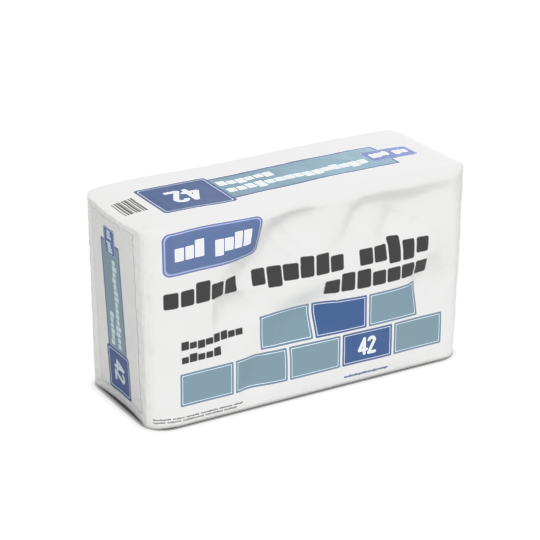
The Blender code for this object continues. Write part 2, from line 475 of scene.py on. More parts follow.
class Drawing:
    """Masks for printed shapes, on the two measures of one panel."""

    EDGE = 0.00022

    def __init__(self, bench: Bench, across: Wire, up: Wire) -> None:
        """Draws on the given measures, in metres."""
        self.bench = bench
        self.across = across
        self.up = up

    def reading_down(self, height: float) -> "Drawing":
        """The panel as it is read with its top edge to the left."""
        return Drawing(self.bench, height - self.up, self.across)

    def upside_down(self, width: float, height: float) -> "Drawing":
        """The panel as it is read from its far side."""
        return Drawing(self.bench, width - self.across, height - self.up)

    def inside(self, distance: Wire) -> Wire:
        """1 where a distance is negative, with an edge as soft as printing ink."""
        return (0.5 - distance / self.EDGE).clamped()

    def bar(self, low: Pair, high: Pair, radius: float = 0.0008) -> Wire:
        """A rectangle with rounded corners, from its low corner to its high one."""
        half_x, half_z = (high[0] - low[0]) / 2 - radius, (high[1] - low[1]) / 2 - radius
        off_x = ((self.across - (low[0] + high[0]) / 2).absolute() - half_x).above_zero()
        off_z = ((self.up - (low[1] + high[1]) / 2).absolute() - half_z).above_zero()
        return self.inside((off_x * off_x + off_z * off_z) ** 0.5 - radius)

    def rim(self, low: Pair, high: Pair, inset: float, width: float, radius: float = 0.0008) -> Wire:
        """A thin line that follows a rectangle, inset from its edge."""
        outer = self.bar((low[0] + inset, low[1] + inset), (high[0] - inset, high[1] - inset), radius)
        gap = inset + width
        inner = self.bar((low[0] + gap, low[1] + gap), (high[0] - gap, high[1] - gap), radius)
        return (outer - inner).clamped()

    def limb(self, start: Pair, end: Pair, half: float) -> Wire:
        """A straight stroke with round ends."""
        run_x, run_z = end[0] - start[0], end[1] - start[1]
        size = run_x**2 + run_z**2
        share = (((self.across - start[0]) * run_x + (self.up - start[1]) * run_z) / size).clamped()
        off_x = self.across - start[0] - share * run_x
        off_z = self.up - start[1] - share * run_z
        return self.inside((off_x * off_x + off_z * off_z) ** 0.5 - half)

    def arch(self, centre: Pair, radius: float, half: float) -> Wire:
        """The upper half of a ring."""
        off_x = self.across - centre[0]
        off_z = self.up - centre[1]
        ring = ((off_x * off_x + off_z * off_z) ** 0.5 - radius).absolute() - half
        return self.inside(ring) & self.inside(centre[1] - self.up)

    def numeral(self, centre: Pair, size: float) -> Wire:
        """The plain number 42."""
        half = size * 0.088
        left, right = centre[0] - size * 0.40, centre[0] + size * 0.42
        low, high = centre[1] - size / 2 + half, centre[1] + size / 2 - half
        stem = left + size * 0.22
        bar = low + size * 0.21
        foot = stem - size * 0.30
        bowl = size * 0.17
        top = (right - bowl, high - bowl)
        strokes = (
            self.limb((stem, low), (stem, high), half),
            self.limb((stem, high), (foot, bar), half),
            self.limb((foot, bar), (stem + size * 0.13, bar), half),
            self.arch(top, bowl, half),
            self.limb((right, top[1]), (right - bowl * 2, low), half),
            self.limb((right - bowl * 2, low), (right + size * 0.02, low), half),
        )
        whole = strokes[0]
        for stroke in strokes[1:]:
            whole = whole | stroke
        return whole

    def blocks(self, row: "BlockRow") -> Wire:
        """A row of plain upright blocks of uneven widths and heights, in groups."""
        steps = (self.across - row.start) / row.pitch
        cell = steps.math("FLOOR")
        width, tall, low = (self.chance(cell + row.seed + offset) for offset in (0.31, 17.77, 41.13))
        half = row.pitch * (0.41 + 0.06 * width)
        off_x = (((steps - cell - 0.5) * row.pitch).absolute() - half + row.radius).above_zero()
        top = row.high - (row.high - row.low) * 0.24 * (0.62 - tall).above_zero().math("GREATER_THAN", 0.0)
        foot = row.low - (row.high - row.low) * 0.20 * (low - 0.86).above_zero().math("GREATER_THAN", 0.0)
        off_z = ((self.up - (top + foot) / 2).absolute() - (top - foot) / 2 + row.radius).above_zero()
        shape = self.inside((off_x * off_x + off_z * off_z) ** 0.5 - row.radius)
        shape = shape & self.inside((self.across - (row.start + row.end) / 2).absolute() - (row.end - row.start) / 2)
        for gap in row.gaps:
            left = row.start + gap * row.pitch
            shape = (shape - self.inside((self.across - left - row.pitch / 2).absolute() - row.pitch * 0.5)).clamped()
        return shape

    def chance(self, cell: Wire) -> Wire:
        """A fixed random value for each numbered cell."""
        settings = {"noise_dimensions": "1D"}
        return self.bench.wire(self.bench.node("ShaderNodeTexWhiteNoise", settings, {"W": cell}), "Value")


@dataclass(frozen=True)
class BlockRow:
    """One row of printed blocks, which stands where a line of wording would.

    gaps are the numbers of the places that stay empty.
    """

    start: float
    count: int
    pitch: float
    low: float
    high: float
    gaps: tuple[int, ...] = ()
    seed: float = 0.0
    radius: float = 0.0012

    @property
    def end(self) -> float:
        """Where the row stops."""
        return self.start + self.count * self.pitch


# Finishes


@dataclass(frozen=True)
class Inks:
    """The printing inks, and the tint of the paper under them."""

    paper: Colour = srgb(212, 212, 211)
    teal: Colour = srgb(123, 156, 169)
    teal_edge: Colour = srgb(104, 136, 158)
    blue: Colour = srgb(58, 89, 145)
    badge: Colour = srgb(90, 112, 163)
    pale: Colour = srgb(176, 186, 212)
    dark: Colour = srgb(40, 39, 41)
    grey: Colour = srgb(120, 120, 122)
    white: Colour = srgb(234, 236, 240)


TOP_INKS = Inks(blue=srgb(44, 76, 136), white=srgb(226, 231, 236))
# The end's inks and white are darker than the front's: painted shade for the end panels, which face away from the key
# light.
END_INKS_PAINTED_SHADE = Inks(
    teal=srgb(112, 140, 152), blue=srgb(40, 66, 122), badge=srgb(72, 96, 152), white=srgb(188, 204, 206)
)

Layers = list[tuple[Wire, Colour]]


@dataclass(frozen=True)
class PaperFinish:
    """Smooth white outer ply of a sack, bare or printed."""

    name: str
    inks: Inks = Inks()
    roughness: float = 0.60
    ink_roughness: float = 0.48

    def make(
        self, layers_of: Callable[[Drawing], Layers] | None, folds_of: Callable[[Drawing], Wire], wear: float = 1.0
    ) -> bpy.types.Material:
        """Builds the paper with its print.

        Args:
            layers_of: gives the print's masks and inks for a drawing, or nothing for bare paper.
            folds_of: gives the height of the fine folds for a drawing, in millimetres.
            wear: how strong the soiling and the rubbed ink are.

        Returns:
            The new material.
        """
        bench = Bench(self.name)
        across, up = bench.mapped(SackSkin.PRINT_MAP)
        sheet = Drawing(bench, across, up)
        layers = layers_of(sheet) if layers_of else []
        mottle = bench.noise(38.0, 4.0, 0.6)
        fibre = bench.noise(1900.0, 2.0, 0.7)
        rub = bench.noise(420.0, 4.0, 0.75)
        colour: Any = bench.mix((mottle - 0.35) * 0.5, self.inks.paper, srgb(220, 220, 218))
        cover = (1.0 - 1.3 * (rub - 0.66).above_zero()).clamped() * (0.95 + 0.05 * fibre)
        inked: Any = None
        for mask, ink in layers:
            colour = bench.mix(mask * cover, colour, ink)
            inked = mask if inked is None else inked | mask
        speck = bench.noise(260.0, 2.0, 0.9)
        soil = (bench.noise(9.0, 5.0, 0.65) - 0.56).above_zero() * 0.55 * wear + (speck - 0.72).above_zero() * 1.2 * wear
        colour = bench.mix(soil.clamped(), colour, srgb(168, 166, 160))
        shade = bench.mix(0.035 * fibre, colour, srgb(150, 150, 150))
        bench.feed(bench.shader.inputs["Base Color"], shade)
        rough = self.roughness + 0.10 * (mottle - 0.5)
        if inked is not None:
            rough = rough - inked * (self.roughness - self.ink_roughness)
        bench.feed(bench.shader.inputs["Roughness"], rough)
        bench.shader.inputs["Specular IOR Level"].default_value = 0.22
        cockle = bench.bump(bench.noise(70.0, 4.0, 0.6), 0.0010, 0.30)
        crease = bench.bump(self.hair_creases(bench), 0.0004, 0.35, cockle)
        folded = bench.bump(folds_of(sheet), MILLIMETRE, 1.0, crease)
        grain = bench.bump(fibre, 0.00006, 0.35, folded)
        bench.feed(bench.shader.inputs["Normal"], grain)
        return bench.material

    def hair_creases(self, bench: Bench) -> Wire:
        """Sharp little creases, here and there, as on paper that has been handled."""
        ridge = 1.0 - ((bench.noise(34.0, 3.0, 0.55) - 0.5).absolute() * 26.0).clamped()
        return ridge * ((bench.noise(11.0, 2.0, 0.5) - 0.48) * 5.0).clamped()


@dataclass(frozen=True)
class PaperFolds:
    """Heights, in millimetres, of the folds that are too fine for the mesh."""

    form: SackForm
    seam_height: float = 0.168
    seam_rise: float = 0.35

    def broad(self, sheet: Drawing) -> Wire:
        """Upright streaks where the paper turns into an end."""
        return self.streaks(sheet, (1.0, 1.0, 0.09))

    def back(self, sheet: Drawing) -> Wire:
        """The streaks, and the lapped seam that closes the paper tube from end to end."""
        lap = ((sheet.up - self.seam_height) / 0.0008).clamped()
        loose = ((sheet.up - self.seam_height) / 0.030).clamped()
        return self.streaks(sheet, (1.0, 1.0, 0.09)) + self.seam_rise * (lap - loose)

    def narrow(self, sheet: Drawing) -> Wire:
        """Streaks across the top or the base, where it turns into an end."""
        return self.streaks(sheet, (1.0, 0.09, 1.0))

    def streaks(self, sheet: Drawing, stretch: tuple[float, float, float]) -> Wire:
        """Fine ridges beside both ends, along the creases."""
        from_end = sheet.across & (self.form.length - sheet.across)
        reach = (1.0 - from_end / 0.024).clamped() ** 1.4
        return (sheet.bench.noise(190.0, 3.0, 0.6, stretch) - 0.5) * reach * 1.5

    def end(self, sheet: Drawing) -> Wire:
        """Crumpled paper near an end's rim, most of it at the corners."""
        form = self.form
        side = sheet.across & (form.depth - sheet.across)
        level = sheet.up & (form.height - sheet.up)
        rim = (1.0 - ((side & (level + 0.016)) - 0.018).above_zero() / 0.026).clamped()
        ridge = 1.0 - ((sheet.bench.noise(58.0, 3.0, 0.55) - 0.5).absolute() * 9.0).clamped()
        return ridge * rim * 0.55


@dataclass(frozen=True)
class KraftFinish:
    """Brown unbleached paper, as on a valve's sleeve."""

    name: str = "kraft_sleeve"
    base: Colour = srgb(186, 152, 112)
    shadow: Colour = srgb(88, 66, 44)

    def make(self, low: Pair, high: Pair) -> bpy.types.Material:
        """Builds the material, with the sleeve's folded edges and its mouth, both darkened with painted shade.

        Args:
            low: the sleeve's low corner on the print's map.
            high: its high corner.

        Returns:
            The new material.
        """
        bench = Bench(self.name)
        sheet = Drawing(bench, *bench.mapped(SackSkin.PRINT_MAP))
        fold = sheet.rim(low, high, 0.0034, 0.0011, 0.0004)
        mouth = sheet.bar((high[0] - 0.0019, low[1] + 0.0040), (high[0] - 0.0008, high[1] - 0.0040), 0.0003)
        wrinkle = (1.0 - ((bench.noise(62.0, 3.0, 0.5, (1.0, 0.35, 1.0)) - 0.5).absolute() * 10.0).clamped()) * 0.35
        fibre = bench.noise(420.0, 4.0, 0.75, (1.0, 0.18, 1.0))
        speck = bench.noise(1500.0, 2.0, 0.6)
        colour = bench.mix(fibre, srgb(172, 137, 98), self.base)
        colour = bench.mix(speck * 0.2, colour, srgb(120, 92, 62))
        # Painted shade: the mouth's slit is nearly the shadow colour, and the folded edges are a little darker.
        bench.feed(bench.shader.inputs["Base Color"], bench.mix((mouth * 0.9) | (fold * 0.22), colour, self.shadow))
        bench.feed(bench.shader.inputs["Roughness"], 0.72 + 0.12 * fibre)
        folded = bench.bump(wrinkle - fold * 0.5 - mouth, MILLIMETRE, 1.0)
        bench.feed(bench.shader.inputs["Normal"], bench.bump(fibre, 0.0001, 0.5, folded))
        return bench.material


# Print of each side. Measures run from the panel's left edge and from its foot.


@dataclass(frozen=True)
class SackPrint:
    """The plain printed design of the sack: a badge, rows of blocks, a course of bricks and a band."""

    form: SackForm
    inks: Inks = Inks()
    brick: Pair = (0.0802, 0.0480)
    joint: float = 0.0040
    course_start: float = 0.0415
    course_foot: float = 0.0310

    def broad(self, sheet: Drawing) -> Layers:
        """A broad side: the badge, two rows of heavy blocks, and the bricks over a fine line or two."""
        inks = self.inks
        layers: Layers = []
        layers += self.badge(sheet, (0.0215, 0.2220), (0.1685, 0.2830), 0.0040)
        rows = (
            BlockRow(0.0196, 18, 0.02313, 0.1755, 0.2055, (5, 12), 3.0, 0.0030),
            BlockRow(0.2668, 7, 0.02434, 0.1425, 0.1695, (), 11.0, 0.0030),
        )
        layers += [(sheet.blocks(row), inks.dark) for row in rows]
        layers += self.bricks(sheet)
        fine = (
            BlockRow(0.0063, 54, 0.0024, 0.0142, 0.0162, (9, 17, 26, 38, 47), 5.0, 0.0002),
            BlockRow(0.0063, 50, 0.0024, 0.0100, 0.0120, (6, 15, 29, 41), 9.0, 0.0002),
        )
        layers += [(sheet.blocks(row), inks.grey) for row in fine]
        layers.append((sheet.blocks(BlockRow(0.2971, 24, 0.0030, 0.0128, 0.0158, (), 2.0, 0.0003)), inks.blue))
        return layers

    def badge(self, sheet: Drawing, low: Pair, high: Pair, edge: float) -> Layers:
        """A blue panel with a pale edge and one row of white blocks."""
        width, height = high[0] - low[0], high[1] - low[1]
        inner = (low[0] + edge, low[1] + edge), (high[0] - edge, high[1] - edge)
        count = 8
        pitch = width * 0.80 / count
        row = BlockRow(low[0] + width * 0.10, count, pitch, low[1] + height * 0.32, high[1] - height * 0.28, (3,), 6.0)
        return [
            (sheet.bar(low, high, height * 0.16), self.inks.badge),
            (sheet.rim(low, high, edge * 0.5, edge * 0.45, height * 0.13), self.inks.pale),
            (sheet.bar(*inner, height * 0.12), self.inks.badge),
            (sheet.blocks(row), self.inks.white),
        ]

    def bricks(self, sheet: Drawing) -> Layers:
        """Two courses of bricks in running bond, each with a thin white line inside its edge."""
        layers: Layers = []
        width, height = self.brick
        step = width + self.joint
        upper = self.course_foot + height + self.joint
        courses = ((self.course_foot, self.course_start, 5, (3,)), (upper, self.course_start + 1.5 * step, 3, (1,)))
        for low, start, count, blue_ones in courses:
            for index in range(count):
                left = start + index * step
                ink = self.inks.blue if index in blue_ones else self.inks.teal
                corners = (left, low), (left + width, low + height)
                layers.append((sheet.bar(*corners, 0.0015), self.inks.blue if index in blue_ones else self.inks.teal_edge))
                layers.append((sheet.rim(*corners, 0.0026, 0.0010), self.inks.white))
                layers.append((sheet.bar((left + 0.0036, low + 0.0036), (left + width - 0.0036, low + height - 0.0036)), ink))
        middle = self.course_start + 3 * step + width / 2
        layers.append((sheet.numeral((middle, self.course_foot + height / 2), 0.027), self.inks.white))
        words = (
            BlockRow(0.0430, 8, 0.0122, 0.1135, 0.1255, (), 8.0, 0.0012),
            BlockRow(0.0430, 5, 0.0122, 0.0940, 0.1060, (), 4.0, 0.0012),
        )
        layers += [(sheet.blocks(row), self.inks.dark) for row in words]
        return layers

    def band(self, sheet: Drawing, plan: "BandPlan") -> Layers:
        """A long teal band, with a badge at its start and a numbered blue block at its end."""
        inks = self.inks
        middle, half = plan.middle, plan.band_half
        number = plan.end - plan.number_length
        badge = plan.start + plan.badge_length
        block = (number, middle - plan.number_half), (plan.end, middle + plan.number_half)
        left, right = plan.band_start, number + 0.010
        border = plan.border
        layers: Layers = [
            (sheet.bar((left, middle - half), (right, middle + half), 0.001), inks.blue),
            (sheet.bar((left + border, middle - half + border), (right, middle + half - border), 0.0006), inks.teal),
            (sheet.bar(*block, 0.005), inks.blue),
            (sheet.rim(*block, 0.0035, 0.0012, 0.004), inks.white),
            (sheet.numeral(((number + plan.end) / 2, middle), plan.number_half * 0.92), inks.white),
        ]
        layers += self.badge(sheet, (plan.start, middle - plan.badge_half), (badge, middle + plan.badge_half), 0.0022)
        room = number - badge - 0.008
        for count, share, low, high, seed in ((15, 1.0, 0.10, 0.56, 7.0), (6, 0.38, -0.58, -0.16, 5.0)):
            first = number - 0.004 - room * share
            row = BlockRow(first, count, room * share / count, middle + half * low, middle + half * high, (), seed, 0.0010)
            layers.append((sheet.blocks(row), inks.white))
        return layers

    def top(self, sheet: Drawing) -> Layers:
        """The narrow top: the band, read from behind, and a patch of plain stripes by its end."""
        turned = sheet.upside_down(self.form.length, self.form.depth)
        layers = self.band(turned, BandPlan(0.035, 0.451, 0.1085, 0.108, 0.0483, 0.080, 0.0395, 0.078, 0.0200, 0.0032))
        for step in range(9):
            left = 0.0105 + 0.0031 * step
            layers.append((sheet.bar((left, 0.074), (left + 0.0009 + 0.0007 * (step % 3), 0.124), 0.0001), self.inks.dark))
        return layers

    def end(self, sheet: Drawing) -> Layers:
        """An end's patch: the band again, read downwards."""
        turned = sheet.reading_down(self.form.height)
        return self.band(turned, BandPlan(0.022, 0.2760, 0.0971, 0.066, 0.0330, 0.044, 0.0275, 0.043, 0.0165, 0.0025))


@dataclass(frozen=True)
class BandPlan:
    """Where the parts of a printed band lie, along its reading direction and to each side of its middle."""

    start: float
    end: float
    middle: float
    number_length: float
    number_half: float
    band_start: float
    band_half: float
    badge_length: float
    badge_half: float
    border: float


# Pieces


@dataclass
class Relief:
    """Everything that the powder and the folding have pressed into the paper.

    Strokes on the tube are drawn in (along, girth), and strokes on an end in (distance from the
    middle, height).
    """

    form: SackForm
    tube_strokes: tuple[Stroke, ...]
    end_strokes: dict[Side, tuple[Stroke, ...]]
    swell: Crinkle = Crinkle(0.055, 0.0009)
    crinkle: Crinkle = Crinkle(0.016, 0.00045, ridged=True, place=(3.1, 0.7, 5.3))
    end_crinkle: Crinkle = Crinkle(0.013, 0.00070, ridged=True, place=(8.4, 2.9, 1.6))

    def tube(self, along: Numbers, girth: Numbers, up: Numbers, points: Numbers) -> Numbers:
        """How far the wrapped sides go in, along their own normals."""
        depth = np.zeros(along.shape)
        for stroke in self.tube_strokes:
            depth += stroke.depth_at(along, girth)
        from_end = np.minimum(along, self.form.length - along)
        off_base = np.clip(up / 0.020, 0.0, 1.0)
        shoulder = np.exp(-(((up - self.form.height * 0.97) / 0.035) ** 2))
        near_end = np.exp(-((from_end / 0.030) ** 2))
        depth -= self.swell.heights(points, 0.2 + 0.8 * off_base)
        depth -= self.crinkle.heights(points, off_base * np.clip(0.55 * shoulder + 0.8 * near_end, 0.08, 1.0))
        return depth * off_base

    def end(self, side: Side, off_middle: Numbers, up: Numbers, points: Numbers) -> Numbers:
        """How far an end goes in, straight along the sack."""
        depth = np.zeros(up.shape)
        for stroke in self.end_strokes[side]:
            depth += stroke.depth_at(off_middle, up)
        half = self.half_width(side)
        rim = np.minimum(half - np.abs(off_middle), np.minimum(up, self.form.height - up))
        off_rim = np.clip(rim / 0.006, 0.0, 1.0)
        outer = np.exp(-((rim / 0.022) ** 2))
        depth -= self.end_crinkle.heights(points, 0.18 + 0.82 * outer)
        return depth * off_rim

    def half_width(self, side: Side) -> float:
        """Half the width of an end panel between its creases."""
        falls = (self.form.left_front_falls, self.form.left_back_falls)
        if side is Side.RIGHT:
            falls = (self.form.right_front_falls, self.form.right_back_falls)
        return (self.form.depth - sum(depth for pair in falls for depth, _ in pair)) / 2


@dataclass
class SackSkin:
    """The paper of the filled sack, as one closed surface over its solid."""

    form: SackForm
    relief: Relief
    pitch: float = 0.0026
    tightening: float = 0.30
    rows: dict[int, Numbers] = field(default_factory=dict)

    PRINT_MAP = "print"
    BAKE_MAP = "OFBake"

    def close_rows(self, size: float) -> Numbers:
        """Places along one side, a little closer together towards both of its edges."""
        count = round(size / self.pitch)
        steps = np.linspace(0.0, 1.0, count + 1)
        return size * (steps - self.tightening * np.sin(2 * np.pi * steps) / (2 * np.pi))

    def build(self) -> bpy.types.Object:
        """Makes the skin: a cube cut into a fine grid, laid on the form and dented.

        Returns:
            The skin's object, with its maps and each face numbered for the material of its side.
        """
        sizes = (self.form.length, self.form.depth, self.form.height)
        self.rows = {axis: self.close_rows(size) for axis, size in enumerate(sizes)}
        cage = bmesh.new()
        bmesh.ops.create_cube(cage, size=1.0)
        for axis in range(3):
            parallel = [edge for edge in cage.edges if abs(edge.verts[0].co[axis] - edge.verts[1].co[axis]) > 0.5]
            bmesh.ops.subdivide_edges(cage, edges=parallel, cuts=len(self.rows[axis]) - 2, use_grid_fill=True)
        mesh = bpy.data.meshes.new("sack_skin")
        cage.to_mesh(mesh)
        cage.free()
        skin = bpy.data.objects.new("sack_skin", mesh)
        bpy.context.scene.collection.objects.link(skin)
        self.lay(mesh)
        return skin

    def lay(self, mesh: bpy.types.Mesh) -> None:
        """Moves the plain grid onto the form, and writes its maps."""
        plain = read_vectors(mesh.vertices, "co")
        measures = []
        for axis in range(3):
            places = self.rows[axis]
            steps = np.rint((plain[:, axis] + 0.5) * (len(places) - 1)).astype(int)
            measures.append(places[steps])
        along, across, up = measures
        placed = self.form.place(along, across, up)
        sides = self.sides_of(mesh, along, across, up)
        mesh.polygons.foreach_set("material_index", sides)
        self.write_maps(mesh, sides, (along, across, up), placed[:, 1] - self.form.depth / 2)
        placed += np.array(self.form.shift())
        mesh.vertices.foreach_set("co", placed.ravel())
        mesh.update()
        self.relieve(mesh, along, across, up)
        mesh.shade_smooth()

    def sides_of(self, mesh: bpy.types.Mesh, along: Numbers, across: Numbers, up: Numbers) -> Numbers:
        """The side that each face of the plain box lies on."""
        corners = np.empty(len(mesh.polygons) * 4, int)
        mesh.polygons.foreach_get("vertices", corners)
        corners = corners.reshape(-1, 4)
        sides = np.zeros(len(corners), int)
        for measure, edge, side in self.side_tests(along, across, up):
            on_edge = (np.abs(measure[corners] - edge) < 1e-9).all(1)
            sides[on_edge] = side.value
        return sides

    def side_tests(self, along: Numbers, across: Numbers, up: Numbers) -> tuple[tuple[Numbers, float, Side], ...]:
        """For each side, the measure that is fixed on it, and its value there."""
        return (
            (across, 0.0, Side.FRONT),
            (up, self.form.height, Side.TOP),
            (across, self.form.depth, Side.BACK),
            (up, 0.0, Side.BASE),
            (along, 0.0, Side.LEFT),
            (along, self.form.length, Side.RIGHT),
        )

    def write_maps(self, mesh: bpy.types.Mesh, sides: Numbers, plain: tuple[Numbers, ...], off_middle: Numbers) -> None:
        """Writes the print's map in metres, and the same panels side by side for baking.

        Args:
            mesh: the laid grid.
            sides: the side of each face.
            plain: the three plain measures of each point.
            off_middle: each point's real distance behind the middle of the sack's depth.
        """
        length, depth, height = self.form.length, self.form.depth, self.form.height
        corners = np.empty(len(mesh.loops), int)
        mesh.loops.foreach_get("vertex_index", corners)
        side = np.repeat(sides, 4)
        a, b, c = (measure[corners] for measure in plain)
        off = off_middle[corners]
        panels = {
            Side.FRONT: (a, c),
            Side.BACK: (length - a, c),
            Side.TOP: (a, b),
            Side.BASE: (a, b),
            Side.LEFT: (depth / 2 - off, c),
            Side.RIGHT: (depth / 2 + off, c),
        }
        gap = 0.001
        homes = {
            Side.FRONT: (gap, gap),
            Side.BACK: (gap, 2 * gap + height),
            Side.TOP: (gap, 3 * gap + 2 * height),
            Side.BASE: (gap, 4 * gap + 2 * height + depth),
            Side.LEFT: (2 * gap + length, gap),
            Side.RIGHT: (2 * gap + length, 2 * gap + height),
        }
        measured = np.zeros((len(corners), 2))
        packed = np.zeros((len(corners), 2))
        for name, (first, second) in panels.items():
            here = side == name.value
            measured[here] = np.stack([first, second], -1)[here]
            packed[here] = measured[here] + np.array(homes[name])
        write_map(mesh, self.PRINT_MAP, measured)
        write_map(mesh, self.BAKE_MAP, packed)

    def relieve(self, mesh: bpy.types.Mesh, along: Numbers, across: Numbers, up: Numbers) -> None:
        """Presses the dents and creases in: the wrapped sides along their normals, the ends along X."""
        form = self.form
        normals = read_vectors(mesh.vertex_normals, "vector")
        places = read_vectors(mesh.vertices, "co")
        laid = places.copy()
        shift = form.shift()
        girth = np.full(along.shape, -1.0)
        for measure, edge, side in self.side_tests(along, across, up)[:4]:
            here = (np.abs(measure - edge) < 1e-9) & (girth < 0)
            girth[here] = form.girth(side, across, up)[here]
        tube = girth >= 0
        depth = self.relief.tube(along[tube], girth[tube], up[tube], laid[tube])
        places[tube] -= normals[tube] * depth[:, None]
        for side, edge, inward in ((Side.LEFT, 0.0, 1.0), (Side.RIGHT, form.length, -1.0)):
            here = np.abs(along - edge) < 1e-9
            off_middle = laid[here, 1] - shift.y - form.depth / 2
            places[here, 0] += inward * self.relief.end(side, off_middle, up[here], laid[here])
        mesh.vertices.foreach_set("co", places.ravel())
        mesh.update()


@dataclass
class EndSheet:
    """A sheet of paper pasted on an end: the patch over the folds, or the valve's sleeve.

    low and high are its corners as (distance behind the middle of the depth, height).
    """

    form: SackForm
    relief: Relief
    name: str
    side: Side
    low: Pair
    high: Pair
    lift: float
    thickness: float
    raggedness: float = 0.0005
    pitch: float = 0.0022

    def build(self) -> bpy.types.Object:
        """Makes the sheet: a grid laid on the end's own relief, lifted off it and given its thickness.

        Returns:
            The sheet's object, with its print map.
        """
        counts = [round((high - low) / self.pitch) for low, high in zip(self.low, self.high)]
        grid = bmesh.new()
        bmesh.ops.create_grid(grid, x_segments=counts[0], y_segments=counts[1], size=0.5)
        mesh = bpy.data.meshes.new(self.name)
        grid.to_mesh(mesh)
        grid.free()
        self.lay(mesh)
        sheet = bpy.data.objects.new(self.name, mesh)
        bpy.context.scene.collection.objects.link(sheet)
        wall = sheet.modifiers.new("paper", "SOLIDIFY")
        wall.thickness = self.thickness
        wall.offset = 1.0
        return sheet

    def lay(self, mesh: bpy.types.Mesh) -> None:
        """Moves the flat grid onto the end, and writes its print map."""
        flat = read_vectors(mesh.vertices, "co")
        off_middle = self.low[0] + (flat[:, 0] + 0.5) * (self.high[0] - self.low[0])
        up = self.low[1] + (flat[:, 1] + 0.5) * (self.high[1] - self.low[1])
        off_middle, up = self.ragged(flat, off_middle, up)
        up = self.form.end_up(self.side, up)
        left = self.side is Side.LEFT
        plain = self.form.end_across(self.side, off_middle)
        along = np.full(len(flat), 0.0 if left else self.form.length)
        placed = self.form.place(along, plain, up) + np.array(self.form.shift())
        outward = -1.0 if left else 1.0
        placed[:, 0] -= outward * self.relief.end(self.side, off_middle, up, placed)
        placed[:, 0] += outward * self.lift
        mesh.vertices.foreach_set("co", placed.ravel())
        corners = np.empty(len(mesh.loops), int)
        mesh.loops.foreach_get("vertex_index", corners)
        measured = np.stack([self.form.depth / 2 + outward * off_middle, up], -1)
        write_map(mesh, SackSkin.PRINT_MAP, measured[corners])
        if left:
            mesh.flip_normals()
        mesh.update()
        mesh.shade_smooth()

    def ragged(self, flat: Numbers, off_middle: Numbers, up: Numbers) -> tuple[Numbers, Numbers]:
        """Lets the sheet's cut edges wander a little."""
        reach = np.clip(1.0 - (0.5 - np.abs(flat[:, :2])) * 12.0, 0.0, None)
        wave_y = np.sin(up * 61.0 + self.side.value) + 0.6 * np.sin(up * 143.0 + 2.0)
        wave_z = np.sin(off_middle * 83.0 + self.side.value) + 0.6 * np.sin(off_middle * 191.0)
        return (
            off_middle + self.raggedness * wave_y * reach[:, 0],
            up + self.raggedness * wave_z * reach[:, 1],
        )


def read_vectors(items: Any, name: str) -> Numbers:
    """Reads one vector from each item of a mesh's list."""
    values = np.empty(len(items) * 3)
    items.foreach_get(name, values)
    return values.reshape(-1, 3)


def write_map(mesh: bpy.types.Mesh, name: str, places: Numbers) -> None:
    """Gives a mesh a UV map, with one place for each corner of its faces."""
    layer = mesh.uv_layers.new(name=name)
    layer.uv.foreach_set("vector", places.astype(np.float32).ravel())


# The dents of this sack


def back_strokes(form: SackForm) -> tuple[Stroke, ...]:
    """Dents of the hidden broad side, drawn as (along, height) and turned into girth."""
    drawn = (
        (((0.080, 0.236), (0.118, 0.226), (0.172, 0.182), (0.190, 0.150)), 0.0140, 0.0280, 0.0062),
        (((0.262, 0.060), (0.300, 0.076), (0.365, 0.126)), 0.0150, 0.0280, 0.0062),
        (((0.430, 0.214), (0.405, 0.236), (0.337, 0.252)), 0.0120, 0.0240, 0.0050),
        (((0.240, 0.240), (0.262, 0.205)), 0.0100, 0.0150, 0.0030),
        (((0.060, 0.110), (0.096, 0.086)), 0.0120, 0.0170, 0.0028),
    )
    total = 2 * form.height + form.depth
    return tuple(
        Stroke(tuple((along, total - up) for along, up in points), below, above, depth)
        for points, above, below, depth in drawn
    )


def corner_folds(half: float, height: float) -> tuple[Stroke, ...]:
    """The slanting folds that run from the four corners of an end in under its patch."""
    folds = []
    for side in (-1, 1):
        for foot, step in ((0.0, 1), (height, -1)):
            start = (side * (half - 0.002), foot + step * 0.002)
            end = (side * (half - 0.034), foot + step * 0.034)
            folds.append(Stroke((start, end), 0.0020, 0.0020, 0.0011, Press.CREASE))
    return tuple(folds)


FRONT_STROKES = (
    Stroke(
        ((0.2560, 0.2605), (0.2367, 0.2610), (0.2154, 0.2590), (0.1995, 0.2520), (0.1899, 0.2430)),
        0.0185, 0.044, 0.0132,
    ),
    Stroke(
        ((0.2080, 0.2510), (0.1890, 0.2350), (0.1765, 0.2200), (0.1565, 0.2000), (0.1360, 0.1780)),
        0.033, 0.064, 0.0190,
    ),
    Stroke(((0.1310, 0.176), (0.1290, 0.154), (0.1280, 0.126)), 0.038, 0.056, 0.0145, Press.FACET),
    Stroke(
        (
            (0.4739, 0.2555), (0.4362, 0.2545), (0.4088, 0.2500), (0.3662, 0.2545),
            (0.3360, 0.2560), (0.3220, 0.2490), (0.3140, 0.2360), (0.3017, 0.2170), (0.2894, 0.2050),
        ),
        0.0185, 0.044, 0.0150,
    ),
    Stroke(((0.3857, 0.2414), (0.3750, 0.2214), (0.3643, 0.1979)), 0.018, 0.022, 0.0100),
    Stroke(
        ((0.2850, 0.1370), (0.2500, 0.1250), (0.2196, 0.1190), (0.1981, 0.1150), (0.1800, 0.1080)),
        0.029, 0.032, 0.0165,
    ),
    Stroke(((0.4300, 0.1643), (0.4406, 0.1432), (0.4517, 0.1265), (0.4681, 0.1100)), 0.022, 0.034, 0.0118),
    Stroke(((0.4041, 0.1289), (0.4357, 0.1182)), 0.020, 0.026, 0.0062),
    Stroke(((0.1661, 0.0791), (0.1569, 0.0628), (0.1499, 0.0422), (0.1470, 0.0234)), 0.018, 0.025, 0.0082),
    Stroke(((0.4200, 0.2252), (0.4118, 0.2098)), 0.010, 0.014, 0.0040),
)


@dataclass(frozen=True)
class Lamp:
    """A broad soft light that hangs at a distance and shines at the sack."""

    name: str
    azimuth: float
    elevation: float
    power: float
    size: float = 2.4
    distance: float = 3.6


